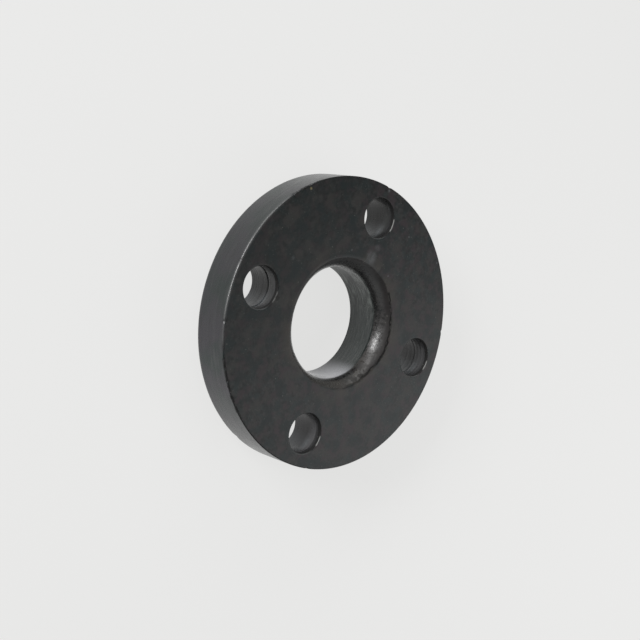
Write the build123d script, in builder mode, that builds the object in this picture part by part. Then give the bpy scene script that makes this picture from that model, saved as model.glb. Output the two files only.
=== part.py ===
from build123d import *

import os
from math import radians, tan

# A lap joint flange for 1-1/4 inch pipe, class 150: a loose backing ring, forged and turned in one
# piece. It slips over the pipe, bears on the back of a stub end and is drawn up by four bolts.
# It lies on its hub, at z = 0, and the lap face with the rounded bore mouth looks up.

os.makedirs("parts", exist_ok=True)

# Bore. Its mouth is a bevel with a crowned slope, which clears the root of the stub end's lap.
bore_diameter = 44.0
mouth_width = 4.5
mouth_depth = 6.4
mouth_crown_radius = 11.3
bore_end_chamfer = 0.9

# Hub, with the draft of the forging die
hub_wall = 7.35
hub_height = 4.7
hub_draft_angle = 7.0
hub_root_radius = 2.4
hub_edge_radius = 1.0

# Bolting: nut_room lies between the hub and a hole, outer_wall between a hole and the rim
bolt_count = 4
bolt_hole_diameter = 15.9
nut_room = 7.15
outer_wall = 5.1
hole_front_chamfer = 0.4
hole_back_chamfer = 0.3

# Rim
rim_thickness = 15.9
front_edge_radius = 0.4
back_edge_chamfer = 0.8

# Each diameter follows from the one inside it
hub_diameter = bore_diameter + 2 * hub_wall
bolt_circle_diameter = hub_diameter + 2 * nut_room + bolt_hole_diameter
flange_diameter = bolt_circle_diameter + bolt_hole_diameter + 2 * outer_wall
length_through_hub = rim_thickness + hub_height

# The corners of the half section, as radius and height
bore_end = (bore_diameter / 2, 0)
hub_edge = (hub_diameter / 2 - hub_height * tan(radians(hub_draft_angle)), 0)
hub_root = (hub_diameter / 2, hub_height)
back_edge = (flange_diameter / 2, hub_height)
front_edge = (flange_diameter / 2, length_through_hub)
mouth_top = (bore_diameter / 2 + mouth_width, length_through_hub)
mouth_foot = (bore_diameter / 2, length_through_hub - mouth_depth)


def corner(sketch, place):
    """The sketch's own corner at a place in the section."""
    return sketch.vertices().sort_by_distance(place).first


with BuildPart() as flange:
    # The turned blank
    with BuildSketch(Plane.XZ) as section:
        with BuildLine():
            Polyline(mouth_foot, bore_end, hub_edge, hub_root, back_edge, front_edge, mouth_top)
            RadiusArc(mouth_foot, mouth_top, mouth_crown_radius)
        make_face()
        chamfer(corner(section, bore_end), bore_end_chamfer)
        fillet(corner(section, hub_edge), hub_edge_radius)
        fillet(corner(section, hub_root), hub_root_radius)
        chamfer(corner(section, back_edge), back_edge_chamfer)
        fillet(corner(section, front_edge), front_edge_radius)
    revolve(axis=Axis.Z)

    # Bolt holes, drilled from the lap face astride the centre lines
    with Locations((0, 0, length_through_hub)):
        with PolarLocations(bolt_circle_diameter / 2, bolt_count, start_angle=180 / bolt_count):
            Hole(bolt_hole_diameter / 2, depth=rim_thickness)
    hole_mouths = flange.edges(Select.LAST).filter_by(GeomType.CIRCLE).group_by(Axis.Z)
    chamfer(hole_mouths[-1], hole_front_chamfer)
    chamfer(hole_mouths[0], hole_back_chamfer)

flange.part.label = "flange"
export_step(flange.part, "parts/flange.step")
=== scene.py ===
from math import atan2, cos, exp, hypot, pi, radians, sin, sqrt, tau

import bmesh
import bpy
from mathutils import Matrix, Vector, noise


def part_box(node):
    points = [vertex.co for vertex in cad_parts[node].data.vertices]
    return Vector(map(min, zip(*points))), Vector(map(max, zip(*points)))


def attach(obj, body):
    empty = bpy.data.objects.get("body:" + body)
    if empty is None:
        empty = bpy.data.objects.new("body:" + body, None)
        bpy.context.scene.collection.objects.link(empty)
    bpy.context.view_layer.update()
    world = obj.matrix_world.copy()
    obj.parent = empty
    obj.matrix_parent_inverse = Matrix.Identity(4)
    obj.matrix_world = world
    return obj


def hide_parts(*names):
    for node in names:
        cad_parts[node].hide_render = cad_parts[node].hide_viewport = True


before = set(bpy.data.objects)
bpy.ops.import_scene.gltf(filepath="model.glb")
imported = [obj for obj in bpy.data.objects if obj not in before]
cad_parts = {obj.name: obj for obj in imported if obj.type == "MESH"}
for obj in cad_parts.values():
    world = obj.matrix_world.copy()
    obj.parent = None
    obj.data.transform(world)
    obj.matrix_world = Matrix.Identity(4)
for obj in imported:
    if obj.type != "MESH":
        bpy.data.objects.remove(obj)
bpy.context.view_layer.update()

# The turned blank. The real flange is a forged steel disc with a short hub, turned all over, so its
# form is one half section swept round the bore. The corners are rounded or chamfered on the section
# first, and its long runs are cut into rows that can carry tool marks.
mm = 0.001
far_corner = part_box("flange")[1]
rim_radius = far_corner.x
lap_height = far_corner.z
rim_back = 4.7 * mm
bore_radius = 22.0 * mm
mouth_width = 4.5 * mm
mouth_depth = 6.4 * mm
mouth_crown = 11.3 * mm
crown_steps = 27
mouth_foot = Vector((bore_radius, 0, lap_height - mouth_depth))
mouth_top = Vector((bore_radius + mouth_width, 0, lap_height))
lap_run_out = mouth_top.x + 1.6 * mm
hub_end_radius = 28.77 * mm
hub_root = 29.35 * mm
bolt_circle = 44.45 * mm
hole_zone = 9.8 * mm
steps_round = 320
touching = 0.01 * mm
bore_row = 0.34 * mm
mouth_row = 0.25 * mm
rim_row = 0.5 * mm
plain_row = 1.09 * mm

corners = [  # radius, height, rounding, steps in the rounding
    (mouth_foot.x, mouth_foot.z, 0.15 * mm, 2),
    (bore_radius, 0, 0.9 * mm, 1),
    (hub_end_radius, 0, 1.0 * mm, 4),
    (hub_root, rim_back, 2.1 * mm, 6),
    (bolt_circle - hole_zone, rim_back, 0, 0),
    (bolt_circle + hole_zone, rim_back, 0, 0),
    (rim_radius, rim_back, 0.8 * mm, 2),
    (rim_radius, lap_height, 0.4 * mm, 4),
    (bolt_circle + hole_zone, lap_height, 0, 0),
    (bolt_circle - hole_zone, lap_height, 0, 0),
    (lap_run_out, lap_height, 0, 0),
    (mouth_top.x, mouth_top.z, 1.1 * mm, 5),
]


def row_height(place):
    """How tall the rows are along the section there: finer where a tool mark shows."""
    close = 0.1 * mm
    if place.x < bore_radius + close:
        return bore_row
    if place.x > rim_radius - close:
        return rim_row
    if place.x < lap_run_out and place.z > rim_back:
        return mouth_row
    return plain_row


body = bmesh.new()
section = [body.verts.new((radius, 0, height)) for radius, height, size, steps in corners]
for start, end in zip(section, section[1:]):
    body.edges.new((start, end))
slope = mouth_top - mouth_foot
crown_arm = sqrt(mouth_crown ** 2 - slope.length_squared / 4)
crown_centre = (mouth_foot + mouth_top) / 2 + Vector((slope.z, 0, -slope.x)).normalized() * crown_arm
crown_angle = 2 * atan2(slope.length / 2, crown_arm)
bmesh.ops.spin(body, geom=[section[-1]], cent=crown_centre, axis=(0, 1, 0), angle=-crown_angle,
               steps=crown_steps)
bmesh.ops.remove_doubles(body, verts=body.verts, dist=touching)
section = [min(body.verts, key=lambda v: (v.co - Vector((radius, 0, height))).length)
           for radius, height, size, steps in corners]
for corner, (radius, height, size, steps) in zip(section, corners):
    if size:
        bmesh.ops.bevel(body, geom=[corner], offset=size, offset_type="OFFSET", segments=steps,
                        profile=0.5, affect="VERTICES", material=-1)
for run in list(body.edges):
    middle = (run.verts[0].co + run.verts[1].co) / 2
    rows = round(run.calc_length() / row_height(middle))
    if rows > 1:
        bmesh.ops.subdivide_edges(body, edges=[run], cuts=rows - 1)
bmesh.ops.spin(body, geom=body.verts[:] + body.edges[:], cent=(0, 0, 0), axis=(0, 0, 1),
               angle=tau, steps=steps_round, use_merge=True)

# The bolt holes. Four plain holes are drilled through the rim, and their edges are broken. The drill
# left rings in the walls, at depths of their own in each hole. A window is opened in both faces of the
# rim, drawn in to the hole, and pulled through as its wall.
hole_radius = 7.95 * mm
mouth_break = 0.4 * mm
mouth_margin = 0.5 * mm
tail_break = 0.3 * mm
break_steps = 4
window_angle = radians(13.5)
wall_rows = 46
drill_rings = {  # by hole, anticlockwise from +X +Y: depth below the lap face, how deep, how wide, mm
    0: ((2.9, 0.04, 0.3), (8.7, 0.03, 0.3), (13.1, 0.04, 0.25)),
    1: ((5.6, 0.22, 0.30), (8.4, 0.05, 0.25), (11.2, 0.07, 0.25), (12.4, 0.07, 0.25), (13.6, 0.06, 0.25)),
    2: ((3.2, 0.05, 0.35), (9.5, 0.03, 0.3), (12.8, 0.04, 0.25)),
    3: ((3.4, 0.08, 0.30), (5.2, 0.06, 0.25), (7.2, 0.12, 0.30), (9.1, 0.07, 0.25), (11.6, 0.08, 0.25)),
}


def windowed(face):
    """Whether a face lies where a hole goes, on the lap face or on the back of the rim."""
    place = face.calc_center_median()
    turn = atan2(place.y, place.x) % (pi / 2) - pi / 4
    reach = hypot(place.x, place.y) - bolt_circle
    flat = abs(place.z - lap_height) < touching or abs(place.z - rim_back) < touching
    return flat and abs(turn) < window_angle and abs(reach) < hole_zone


def drawn_in(loop, radius_at, height):
    """Extrudes the loops round the holes and sets the new ones on circles at a height."""
    pulled = bmesh.ops.extrude_edge_only(body, edges=loop)["geom"]
    for v in pulled:
        if isinstance(v, bmesh.types.BMVert):
            hole = int(atan2(v.co.y, v.co.x) % tau // (pi / 2))
            azimuth = pi / 4 + hole * pi / 2
            centre = Vector((bolt_circle * cos(azimuth), bolt_circle * sin(azimuth), 0))
            way = Vector((v.co.x, v.co.y, 0)) - centre
            v.co = centre + way.normalized() * radius_at(hole) + Vector((0, 0, height))
    return [e for e in pulled if isinstance(e, bmesh.types.BMEdge) and e.is_boundary]


def wall_radius(hole, depth):
    """The radius of a hole at a depth in mm below the lap face, with the rings that the drill cut."""
    cuts = sum(cut * exp(-((depth - at) / wide) ** 2) for at, cut, wide in drill_rings[hole])
    return hole_radius + cuts * mm


bmesh.ops.delete(body, geom=[f for f in body.faces if windowed(f)], context="FACES")
open_edges = [e for e in body.edges if e.is_boundary]
fronts = [e for e in open_edges if e.verts[0].co.z > lap_height / 2]
backs = [e for e in open_edges if e.verts[0].co.z < lap_height / 2]
drawn_in(backs, lambda hole: hole_radius + tail_break, rim_back)
fronts = drawn_in(fronts, lambda hole: hole_radius + mouth_break + mouth_margin, lap_height)
fronts = drawn_in(fronts, lambda hole: hole_radius + mouth_break, lap_height)
for step in range(1, break_steps + 1):
    bend = step / break_steps * pi / 2
    ring = hole_radius + mouth_break * (1 - sin(bend))
    fronts = drawn_in(fronts, lambda hole: ring, lap_height - mouth_break * (1 - cos(bend)))
wall_top = lap_height - mouth_break
wall_foot = rim_back + tail_break
for row in range(1, wall_rows + 1):
    height = wall_top + (wall_foot - wall_top) * row / wall_rows
    fronts = drawn_in(fronts, lambda hole: wall_radius(hole, (lap_height - height) / mm), height)
fronts = drawn_in(fronts, lambda hole: hole_radius + tail_break, rim_back)
bmesh.ops.remove_doubles(body, verts=[v for v in body.verts if v.is_boundary], dist=touching)

# Wear and tool marks. The turning tool left shallow rings on the rim and in the bore, the bevel of
# the bore mouth was dressed by hand and is uneven, and the edges have a few dings from handling.
front_dings = [  # on the rim's front edge: azimuth, how wide and how deep in mm
    (129.1, 1.2, 0.40),
    (151.6, 1.0, 0.40),
    (186.7, 0.9, 0.30),
    (165.5, 0.7, 0.35),
    (169.0, 0.8, 0.30),
    (174.0, 0.9, 0.40),
    (178.0, 0.7, 0.35),
    (180.5, 0.8, 0.30),
    (95.8, 1.3, 0.40),
    (91.6, 1.1, 0.35),
    (87.0, 1.2, 0.30),
    (45.2, 1.1, 0.40),
    (232.0, 1.0, 0.25),
    (330.0, 1.0, 0.25),
]
back_dings = [(205.0, 1.6, 0.40), (300.0, 1.4, 0.35)]
face_dings = [(136.2, 1.0, 0.35)]
face_ding_radius = 35.86 * mm
dings = [(rim_radius, azimuth, lap_height, wide, deep) for azimuth, wide, deep in front_dings]
dings += [(rim_radius, azimuth, rim_back, wide, deep) for azimuth, wide, deep in back_dings]
dings += [(face_ding_radius, azimuth, lap_height, wide, deep) for azimuth, wide, deep in face_dings]
ding_reach = 2.4 * mm
picture_up = Vector((cos(radians(63)), sin(radians(63)), 0))
deepest_side = Vector((cos(radians(320)), sin(radians(320)), 0))
ring_pitch = 0.7 * mm


def on_circle(radius, azimuth, height):
    """A point at a radius, an azimuth in degrees and a height."""
    return Vector((radius * cos(radians(azimuth)), radius * sin(radians(azimuth)), height))


def ragged(place, size):
    """Smooth noise between -1 and 1 with bumps about that many millimetres across."""
    return noise.noise(place / (size * mm))


def turned_or_dressed(place, radius, outward):
    """How far the tool's rings or the hand dressing move a point of the rim, bore or bevel."""
    ring = Vector((radius / ring_pitch, place.z / ring_pitch, 3.1))
    if radius > rim_radius - 0.5 * mm:
        rings = 0.02 * noise.noise(ring)
        waves = 0.03 * ragged(place, 9)
        return -outward * mm * (0.05 + rings + waves)
    if radius < bore_radius + 0.02 * mm:
        ring_depth = 0.015 + 0.010 * outward.dot(picture_up)
        return outward * mm * ring_depth * noise.noise(ring)
    if radius < mouth_top.x and place.z > rim_back:
        share = sin(pi * min(1, (radius - bore_radius) / (mouth_top.x - bore_radius)))
        dressing = 0.035 * ragged(place, 5) + 0.014 * ragged(place, 1.3) + 0.006 * ragged(place, 0.5)
        return (outward - Vector((0, 0, 1))) * mm * share * (dressing + 0.02)
    return Vector((0, 0, 0))


def edge_shift(radius, outward):
    """How far a point moves with the bevel's outer edge, which wanders and comes in at one side."""
    share = (radius - bore_radius) / (mouth_top.x - bore_radius)
    if share > 1:
        share = (bolt_circle - hole_zone - radius) / (bolt_circle - hole_zone - mouth_top.x)
    narrowed = max(0, (outward.dot(picture_up) + 0.45) / -0.55) ** 0.7
    wander = 0.5 * ragged(outward * 40 * mm, 22)
    return outward * mm * share * (wander - 1.5 * narrowed)


def groove_depth(place, radius, outward):
    """How deep the ragged groove outside the bevel is there. It is cut on one side of the bore."""
    digging = 0.30 * max(0, ragged(place, 3) + 0.4) * max(0, outward.dot(deepest_side)) ** 0.5
    astray = 0.25 * mm * ragged(place, 1.6)
    groove_width = 0.28 * mm
    return mm * digging * exp(-((radius - mouth_top.x - astray) / groove_width) ** 2)


def knocked(place, ding_radius, azimuth, height, wide, deep):
    """How far a ding moves a point: into the face that it is on, and on the rim inwards too."""
    centre = on_circle(ding_radius, azimuth, height)
    away = (place - centre).length / mm
    if away >= 2 * wide:
        return Vector((0, 0, 0))
    inward = Vector((-centre.x, -centre.y, 0)).normalized()
    if ding_radius < rim_radius - mm:
        inward = Vector((0, 0, 0))
    push = inward + Vector((0, 0, -1 if height > rim_back else 1))
    hit = exp(-(1.6 * away / wide) ** 2) * (1 + 0.4 * ragged(place, 0.6))
    return push.normalized() * mm * deep * hit


def worn(place):
    """Where the wear and the tool have left a point of the clean form."""
    radius = hypot(place.x, place.y)
    outward = Vector((place.x / radius, place.y / radius, 0))
    moved = place + turned_or_dressed(place, radius, outward)
    if bore_radius < radius < bolt_circle - hole_zone and place.z > rim_back:
        moved += edge_shift(radius, outward)
    by_groove = mouth_top.x - 0.8 * mm < radius < lap_run_out
    if by_groove and place.z > lap_height - 0.8 * mm:
        moved.z -= groove_depth(place, radius, outward)
    for ding in dings:
        moved += knocked(place, *ding)
    return moved


for radius, azimuth, height, wide, deep in dings:
    centre = on_circle(radius, azimuth, height)
    near = [e for e in body.edges if all((v.co - centre).length < ding_reach for v in e.verts)]
    bmesh.ops.subdivide_edges(body, edges=near, cuts=2, use_grid_fill=True)
blank_radius = body.verts.layers.float.new("blank_radius")
for v in body.verts:
    v[blank_radius] = hypot(v.co.x, v.co.y) / mm
    v.co = worn(v.co)
bmesh.ops.recalc_face_normals(body, faces=body.faces)
for face in body.faces:
    face.smooth = True
for edge in body.edges:
    edge.smooth = edge.calc_face_angle(0) < radians(38)
flange_mesh = bpy.data.meshes.new("flange_body")
body.to_mesh(flange_mesh)
body.free()
flange = bpy.data.objects.new("flange_body", flange_mesh)
bpy.context.collection.objects.link(flange)
shading = flange.modifiers.new("flat faces stay flat", "WEIGHTED_NORMAL")
shading.keep_sharp = True
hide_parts("flange")
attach(flange, "root")


# The finish. Forged carbon steel, turned bright and then oil blackened: a dark oxide skin over the
# metal, mottled on the lap face, smoother on the rim and in the bore, and browned round the bevel.
class Wire:
    """A value in a material. Sums and products of wires add the nodes that work them out."""

    def __init__(self, socket):
        self.socket = socket

    def node(self, kind, settings, inputs, output=0):
        """One output of a new node, which gets its settings first and then its inputs."""
        tree = self.socket.id_data
        made = tree.nodes.new(kind)
        for name, value in settings.items():
            setattr(made, name, value)
        for name, value in inputs.items():
            if isinstance(value, Wire):
                tree.links.new(value.socket, made.inputs[name])
            else:
                made.inputs[name].default_value = value
        return Wire(made.outputs[output])

    def maths(self, operation, *others):
        return self.node("ShaderNodeMath", {"operation": operation}, dict(enumerate((self, *others))))

    def __add__(self, other):
        return self.maths("ADD", other)

    def __radd__(self, other):
        return self.maths("ADD", other)

    def __sub__(self, other):
        return self.maths("SUBTRACT", other)

    def __rsub__(self, other):
        return (self * -1).maths("ADD", other)

    def __mul__(self, other):
        return self.maths("MULTIPLY", other)

    def __rmul__(self, other):
        return self.maths("MULTIPLY", other)

    def __truediv__(self, other):
        return self.maths("DIVIDE", other)

    def __pow__(self, other):
        return self.maths("POWER", other)

    def ramp(self, low, high):
        """0 below low, 1 above high and smooth between; low may be the larger."""
        return self.node("ShaderNodeMapRange", {"interpolation_type": "SMOOTHSTEP"}, {
            "Value": self, "From Min": low, "From Max": high})


def vector(a, b, c):
    """A vector from three wires."""
    return a.node("ShaderNodeCombineXYZ", {}, {0: a, 1: b, 2: c})


def grain(at, scale, detail, w=None):
    """Noise from 0 to 1 on a vector, or on a vector and a fourth value."""
    inputs = {"Vector": at, "Scale": scale, "Detail": detail}
    if w is not None:
        inputs["W"] = w
    return at.node("ShaderNodeTexNoise", {"noise_dimensions": "3D" if w is None else "4D"}, inputs)


def mixed(share, first, second):
    """A colour that goes from first to second as share goes from 0 to 1."""
    first, second = (c if isinstance(c, Wire) else (*c, 1) for c in (first, second))
    return share.node("ShaderNodeMix", {"data_type": "RGBA"}, {0: share, 6: first, 7: second}, 2)


def coated(skin, coats):
    """A colour with coats laid over it in turn: by name, the share that each covers and its colour."""
    for share, colour in coats.values():
        skin = mixed(share, skin, colour)
    return skin


# Where a point of the surface is: from_axis and from_hole in metres, the distances after them in mm.
steel = bpy.data.materials.new("blackened_steel")
steel.use_nodes = True
point = Wire(steel.node_tree.nodes.new("ShaderNodeTexCoord").outputs["Object"])
x, y, z = (point.node("ShaderNodeSeparateXYZ", {}, {0: point}, k) for k in range(3))
from_axis = (x * x + y * y) ** 0.5
round_x = x / from_axis
round_y = y / from_axis
hole_reach = bolt_circle / sqrt(2)
across = x.maths("ABSOLUTE") - hole_reach
along = y.maths("ABSOLUTE") - hole_reach
from_hole = (across * across + along * along) ** 0.5
inside_rim = (rim_radius - from_axis) / mm
outside_bore = (from_axis - bore_radius) / mm
outside_hole = (from_hole - hole_radius) / mm
below_lap = (lap_height - z) / mm
above_back = (z - rim_back) / mm
up_bevel = x.node("ShaderNodeAttribute", {"attribute_name": "blank_radius"}, {}, "Fac") - bore_radius / mm
bevel_top = mouth_width / mm


def facing(azimuth):
    """1 on the side of the flange at an azimuth, -1 opposite. In the picture 63 is up and 341 right."""
    return round_x * cos(radians(azimuth)) + round_y * sin(radians(azimuth))


def hole_facing(azimuth):
    """1 on the side of each bolt hole at an azimuth, -1 on the opposite side."""
    own_x = across * x.maths("SIGN") * cos(radians(azimuth))
    own_y = along * y.maths("SIGN") * sin(radians(azimuth))
    return (own_x + own_y) / from_hole


def spot(at_x, at_y, size):
    """A soft round spot at a place, in mm."""
    off_x = x / mm - at_x
    off_y = y / mm - at_y
    return ((off_x * off_x + off_y * off_y) ** 0.5).ramp(size, 0.25 * size)


def by_hole(side_x, side_y, size=30):
    """A soft round spot over the bolt hole whose x and y have these signs; its size is in mm."""
    return spot(side_x * hole_reach / mm, side_y * hole_reach / mm, size)


def rim_edge(fade, full):
    """1 on the rim's front edge, from a full width on both sides of it down to 0 at a fade width, mm."""
    return inside_rim.ramp(fade, full) * below_lap.ramp(fade, full)


on_rim = inside_rim.ramp(0.45, 0.1)
in_bore = outside_bore.ramp(0.3, 0.1)
in_hole = outside_hole.ramp(0.35, 0.1)
upper = above_back.ramp(4, 5)
on_bevel = up_bevel.ramp(bevel_top + 0.1, bevel_top - 0.3) * upper
on_edge = rim_edge(0.50, 0.25)

# Tool lines and mottling.
line_pitch = 0.5 * mm
tool_lines = grain(vector(from_axis / line_pitch, round_x * 5, round_y * 5), 1.0, 3.0, w=z / line_pitch)
drill_lines = grain(vector(z / line_pitch, across / (4 * mm), along / (4 * mm)), 1.0, 3.0)
smears = grain(vector(round_x * 7, round_y * 7, z / (1.6 * mm)), 1.0, 4.0)
clouds = grain(point, 60.0, 5.0)
blotches = grain(point, 150.0, 4.0)
tint = grain(point, 260.0, 2.0)
flecks = grain(point, 420.0, 3.0)
mottle = grain(point, 650.0, 4.0)
pepper = grain(point, 1500.0, 2.0)

# The lap face and the back: blue black oxide in patches, with a brown bloom round the bevel, and painted
# shade that makes one side darker and greener.
oxide_black = (0.0060, 0.0090, 0.0086)
oxide_grey = (0.0165, 0.0180, 0.0185)
browned = outside_bore.ramp(11, 5.5) * upper * grain(point, 130.0, 4.0).ramp(0.40, 0.62)
face_skin = coated(mixed(clouds.ramp(0.3, 0.7), oxide_black, oxide_grey), {
    "pale mottles": (mottle.ramp(0.45, 0.68) * 0.75, (0.036, 0.035, 0.036)),
    "dark mottles": (mottle.ramp(0.47, 0.34) * 0.8, (0.001, 0.002, 0.002)),
    "tool lines": (tool_lines.ramp(0.52, 0.75) * 0.4, (0.038, 0.040, 0.040)),
    "pores": (pepper.ramp(0.38, 0.30) * 0.8, (0.001, 0.001, 0.001)),
    "bluish tint": (tint.ramp(0.5, 0.66) * 0.75, (0.010, 0.019, 0.020)),
    "reddish tint": (tint.ramp(0.5, 0.34) * 0.75, (0.029, 0.019, 0.023)),
    # Painted shade: one side darker and greener.
    "painted shade at one side": (facing(112).ramp(0.2, 1.0) * 0.5, (0.0035, 0.0060, 0.0052)),
    "pale blotches": (blotches.ramp(0.52, 0.64) * 0.55, (0.030, 0.028, 0.026)),
    "dark blotches": (blotches.ramp(0.48, 0.36) * 0.7, (0.002, 0.009, 0.010)),
    "brown bloom": (browned * 0.5, (0.048, 0.039, 0.031)),
})

# The rim: smoother, smeared round, with specks of rust near its back edge. Painted shade darkens one side of
# it, and painted light makes the opposite side paler.
rim_green = (0.006, 0.015, 0.0135)
rim_violet = (0.024, 0.0200, 0.0280)
rim_rust = pepper.ramp(0.60, 0.68) * tint.ramp(0.52, 0.62) * above_back.ramp(3.5, 1.0)
rim_skin = coated(mixed(clouds.ramp(0.40, 0.60), rim_green, rim_violet), {
    "pale smears": (smears.ramp(0.50, 0.72) * 0.5, (0.042, 0.043, 0.044)),
    "dark smears": (smears.ramp(0.45, 0.28) * 0.6, (0.004, 0.005, 0.005)),
    "rust": (rim_rust * 0.7, (0.16, 0.11, 0.07)),
    "tool lines": (tool_lines.ramp(0.4, 0.7) * 0.3, (0.030, 0.032, 0.033)),
    # Painted shade on one side of the rim, and painted light on the opposite side.
    "painted shade on one side": (facing(115).ramp(0.4, 1.0) * 0.6, (0.004, 0.006, 0.0055)),
    "painted light on the other side": (facing(225).ramp(0.5, 1.0) * 0.7, (0.045, 0.045, 0.048)),
})

# The bore: fine tool lines, partly bare on one side, and pale on the other with a painted reflection.
bore_line = (0.012, 0.016, 0.0155)
bore_ridge = (0.034, 0.038, 0.037)
bore_skin = coated(mixed(tool_lines.ramp(0.35, 0.7), bore_line, bore_ridge), {
    "bare tool lines": (facing(38).ramp(0.4, 1.0) * tool_lines.ramp(0.46, 0.64), (0.13, 0.145, 0.135)),
    # Painted reflection: the pale side of the bore.
    "painted reflection on one side": (facing(243).ramp(0.74, 1.0) * 0.9, (0.30, 0.303, 0.32)),
})

# The walls of the bolt holes: painted shade under the mouth, and paler deeper in on one side with painted
# light. The right and bottom holes are paler in tone and the top right one darker.
drill_line = (0.018, 0.019, 0.019)
drill_ridge = (0.044, 0.044, 0.046)
paler_wall = (0.075, 0.074, 0.078)
slanting_pair = (x * y / bolt_circle ** 2).ramp(0, 0.2)
# Painted shade: the walls darker under the mouth, most in the top right and bottom holes, and black at the
# mouth.
painted_mouth_shade = below_lap.ramp(3.3, 2.6) * (0.35 + 0.65 * slanting_pair)
painted_shade_band = below_lap.ramp(1.9, 1.2)
# Painted light: the walls paler deeper in, on one side of each hole.
painted_light_side = hole_facing(256).ramp(0.35, 0.95)
hole_skin = coated(mixed(drill_lines.ramp(0.35, 0.7), drill_line, drill_ridge), {
    # Tone by hole: the right and bottom holes paler, the top right one darker.
    "hole at right": (by_hole(1, -1) * 0.3, paler_wall),
    "hole at bottom": (by_hole(-1, -1) * 0.75, paler_wall),
    "hole at top right": (by_hole(1, 1) * 0.5, (0.012, 0.014, 0.013)),
    "painted light deeper in": (painted_light_side * below_lap.ramp(3.5, 6) * 0.8, (0.14, 0.152, 0.162)),
    "painted shade under the mouth": (painted_mouth_shade * 0.9, (0.003, 0.003, 0.004)),
    "painted shade at the mouth": (painted_shade_band, (0.001, 0.001, 0.001)),
})

# The bevel of the bore mouth: dressed by hand, with painted shade along parts of its foot, painted light on
# part of its outer half and on one side, and scabby on one side.
bevel_dark = (0.022, 0.021, 0.021)
bevel_grey = (0.046, 0.044, 0.043)
# Painted shade along the foot of the bevel, above and below.
shaded_upper_foot = up_bevel.ramp(1.2, 0.6) * facing(50).ramp(0.1, 0.7)
shaded_lower_foot = up_bevel.ramp(1.8, 0.8) * facing(237).ramp(0.50, 0.85)
# Painted light on part of the bevel's outer half.
lit_outer_part = up_bevel.ramp(0.6, 1.7) * up_bevel.ramp(bevel_top, bevel_top - 1.8) * facing(58).ramp(0.1, 0.8)
dulled = up_bevel.ramp(1.8, bevel_top - 0.8) * facing(330).ramp(0.3, 0.8)
scabby = on_bevel * facing(272).ramp(0.93, 0.99) * flecks.ramp(0.44, 0.54)
bevel_skin = coated(mixed(mottle.ramp(0.38, 0.66), bevel_dark, bevel_grey), {
    "painted shade along the foot above": (shaded_upper_foot * 0.9, (0.004, 0.004, 0.004)),
    "painted light on the outer part": (lit_outer_part, (0.066, 0.067, 0.067)),
    # Painted light, brownish, on one side.
    "painted light on one side, brownish": (facing(240).ramp(0.3, 0.8) * 0.8, (0.060, 0.057, 0.052)),
    "dull outer part": (dulled, (0.012, 0.010, 0.010)),
    "painted shadow along the foot below": (shaded_lower_foot, (0.002, 0.002, 0.002)),
    "scabs": (scabby * 0.6, (0.002, 0.002, 0.002)),
})

# What lies over the skin: painted shade in the groove and on the edge away from the light, smudges, chipped
# edges, and rubbed edges of bare steel with painted highlights, and painted light on one side of the hole
# edges.
from_seam = (up_bevel - bevel_top + 2.2 * (flecks - 0.5)).maths("ABSOLUTE")
unbroken = grain(point, 250.0, 2.0).ramp(0.34, 0.46)
# Painted shade in the groove: a ragged black line outside the bevel.
seam = from_seam.ramp(0.46, 0.18) * upper * facing(322).ramp(0.45, 0.85) * unbroken
scuffs = pepper.ramp(0.65, 0.75) * tint.ramp(0.48, 0.60) * (1 - on_rim)
smudge_places = [  # x, y, size in mm, strength
    (22.4, 18.5, 3.8, 0.75),
    (26.5, 20.6, 2.2, 0.3),
    (-14.1, 35.2, 1.2, 0.3),
    (39.7, 39.6, 0.8, 0.9),
    (20.5, 11.9, 0.5, 0.8),
    (44.2, 17.7, 0.6, 0.7),
    (13.9, 25.7, 0.7, 0.6),
    (28.4, 7.6, 0.6, 0.7),
    (56.0, 0.6, 0.6, 0.8),
]
smudges = sum(spot(at_x, at_y, size) * strength for at_x, at_y, size, strength in smudge_places)
smudges = smudges * (0.5 + 0.5 * mottle.ramp(0.35, 0.60)) * upper
yellow_fleck = spot(2.6, 55.9, 0.8) * 0.8 * upper
chip_sides = facing(174).ramp(0.93, 0.99) + facing(89).ramp(0.985, 0.996)
chipped = rim_edge(1.0, 0.5) * grain(point, 330.0, 3.0).ramp(0.48, 0.56) * chip_sides
# The side of the edges toward the key lamp: worn by handling, and given painted highlights.
handled_and_lit = facing(128).ramp(0.80, 0.97) * (0.55 + 0.45 * grain(point, 110.0, 2.0).ramp(0.35, 0.6))
on_hole_edge = outside_hole.ramp(0.45, 0.3) * outside_hole.ramp(0, 0.1) * below_lap.ramp(0.45, 0.3)
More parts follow.
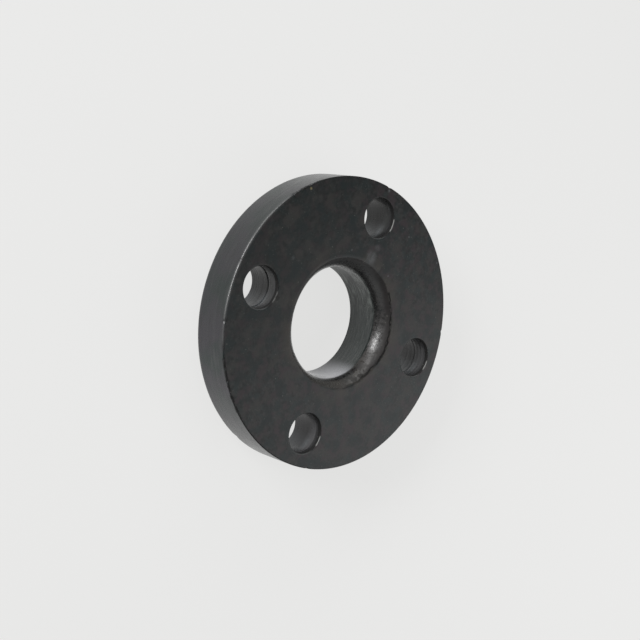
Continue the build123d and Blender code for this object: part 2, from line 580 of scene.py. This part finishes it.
# The glints on the hole edges: bare steel with painted highlights, on the side toward the key lamp.
bright_side = hole_facing(307) + by_hole(1, 1, 16) * (hole_facing(317) - hole_facing(307) + 0.03)
burnished_glint = on_hole_edge * bright_side.ramp(0.955, 0.985) * (1 - by_hole(-1, 1, 16) * mottle.ramp(0.62, 0.5))
rubbed_and_glinting = on_edge * handled_and_lit * 0.32 + burnished_glint * 0.9
colour = coated(face_skin, {
    "bevel": (on_bevel * 0.85, bevel_skin),
    "groove": (seam * 0.97, (0.001, 0.001, 0.001)),
    "rim": (on_rim, rim_skin),
    "bore": (in_bore, bore_skin),
    "bolt holes": (in_hole, hole_skin),
    "scuffs": (scuffs * 0.4, (0.22, 0.21, 0.19)),
    "smudges": (smudges, (0.10, 0.105, 0.11)),
    "yellow fleck": (yellow_fleck, (0.20, 0.17, 0.09)),
    "chips": (chipped * 0.95, (0.001, 0.001, 0.001)),
    # Painted shade on the rim's edge away from the key lamp.
    "painted shade on the edge": (on_edge * facing(126).ramp(0.85, 0.5) * 0.85, (0.005, 0.005, 0.005)),
    # Painted light on one side of each hole edge.
    "painted light on the hole edge": (on_hole_edge * hole_facing(235).ramp(0.7, 0.95) * 0.5, (0.12, 0.125, 0.125)),
    # Painted highlight beside the rim's edge.
    "painted highlight by the edge": (rim_edge(1.2, 0.4) * handled_and_lit * 0.35, (0.16, 0.16, 0.165)),
    # Bare steel with painted highlights on the rubbed rim edge and the hole edges.
    "bare steel and painted highlight": (rubbed_and_glinting, (0.36, 0.36, 0.35)),
})

# Gloss and relief.
bevel_rim = up_bevel.ramp(bevel_top - 1.6, bevel_top - 0.6) * on_bevel * facing(70).ramp(0.1, 0.7)
roughness = (
    0.44 + 0.18 * (mottle - 0.5)
    - on_rim * (0.17 + 0.16 * (smears - 0.5))
    - in_bore * (0.14 - 0.16 * facing(63))
    - in_hole * (0.14 - 0.45 * painted_shade_band)
    - on_bevel * (0.14 * (1 - 2.0 * dulled) - 0.5 * (pepper - 0.5))
    + 0.5 * seam + 0.35 * chipped + 0.3 * scabby + 0.35 * bevel_rim
)
lines = tool_lines * (0.4 + 0.3 * on_rim + in_bore * (0.2 + 0.5 * facing(63))) * (1 - in_hole)
pitting = mottle * (0.7 + 0.8 * on_bevel - 0.5 * on_rim) + pepper * (0.25 + 0.9 * on_bevel)
relief = (lines + drill_lines * in_hole * 0.8 + pitting) * (1 - 0.8 * on_edge)
bump = relief.node("ShaderNodeBump", {}, {"Height": relief, "Strength": 1.0, "Distance": 0.03 * mm})
shader = steel.node_tree.nodes["Principled BSDF"]
shader.inputs["IOR"].default_value = 1.5
varying = {"Base Color": colour, "Roughness": roughness, "Metallic": rubbed_and_glinting * 0.8, "Normal": bump}
for name, value in varying.items():
    steel.node_tree.links.new(value.socket, shader.inputs[name])
flange.data.materials.append(steel)

# The stand. A plain pale sheet that the flange lies on, lit through like a light table. It lies just
# under the flange, so that it doesn't share a plane with the end of the hub.
sheet_size = 6
sheet_drop = 0.05 * mm
sheet = bmesh.new()
bmesh.ops.create_grid(sheet, x_segments=1, y_segments=1, size=sheet_size,
                      matrix=Matrix.Translation((0, 0, -sheet_drop)))
sheet_mesh = bpy.data.meshes.new("floor")
sheet.to_mesh(sheet_mesh)
sheet.free()
floor = bpy.data.objects.new("floor", sheet_mesh)
bpy.context.collection.objects.link(floor)
paper = bpy.data.materials.new("pale_sheet")
paper.use_nodes = True
pale = paper.node_tree.nodes["Principled BSDF"]
pale.inputs["Base Color"].default_value = (0.16, 0.16, 0.16, 1)
pale.inputs["Roughness"].default_value = 0.9
pale.inputs["Specular IOR Level"].default_value = 0.0
pale.inputs["Emission Color"].default_value = (1.0, 1.0, 0.99, 1)
pale.inputs["Emission Strength"].default_value = 0.705
floor.data.materials.append(paper)

# The camera and the light. The camera has the photograph's angle on the lap face, rolled as there.
# A wide soft lamp is low on the camera's side, one is low beyond the side that is up in the picture,
# and a small one is close by, low on the right in the picture.
camera_azimuth = 143.607
camera_elevation = 47.625
camera_roll = 102.783
camera_distance = 422.93 * mm
aim = Vector((-9.95, 7.165, 20.6)) * mm
camera_data = bpy.data.cameras.new("camera")
camera_data.lens = 62.51
camera_data.sensor_width = 36
camera_data.clip_start = 0.01
camera = bpy.data.objects.new("camera", camera_data)
bpy.context.collection.objects.link(camera)


def direction(azimuth, elevation):
    """The way from the flange toward an azimuth and an elevation, in degrees."""
    level = cos(radians(elevation))
    return Vector((level * cos(radians(azimuth)), level * sin(radians(azimuth)), sin(radians(elevation))))


toward = direction(camera_azimuth, camera_elevation)
turn = toward.to_track_quat("Z", "Y").to_matrix() @ Matrix.Rotation(radians(camera_roll), 3, "Z")
camera.matrix_world = Matrix.LocRotScale(aim + camera_distance * toward, turn.to_quaternion(), None)
bpy.context.scene.camera = camera


def lamp(name, azimuth, elevation, distance, width, height, power):
    """A soft rectangular lamp that faces the flange and isn't seen itself."""
    light = bpy.data.lights.new(name, "AREA")
    light.shape = "RECTANGLE"
    light.size = width
    light.size_y = height
    light.energy = power
    stand = bpy.data.objects.new(name, light)
    stand.visible_camera = False
    way = direction(azimuth, elevation)
    stand.matrix_world = Matrix.LocRotScale(way * distance, way.to_track_quat("Z", "Y"), None)
    bpy.context.collection.objects.link(stand)


lamp("key_lamp", azimuth=124, elevation=20, distance=1.5, width=0.8, height=0.40, power=21)
lamp("top_lamp", azimuth=72, elevation=16, distance=1.5, width=1.2, height=0.4, power=7)
lamp("face_lamp", azimuth=307, elevation=36, distance=0.42, width=0.3, height=0.3, power=0.35)

room_light = 0.18
seen_room_light = 0.60
studio = bpy.data.worlds.new("studio")
studio.use_nodes = True
air = studio.node_tree.nodes["Background"]
seen = Wire(studio.node_tree.nodes.new("ShaderNodeLightPath").outputs["Is Camera Ray"])
strength = room_light + seen_room_light * seen
studio.node_tree.links.new(strength.socket, air.inputs["Strength"])
air.inputs["Color"].default_value = (1.0, 1.0, 1.0, 1)
bpy.context.scene.world = studio
bpy.context.scene.view_settings.view_transform = "Standard"
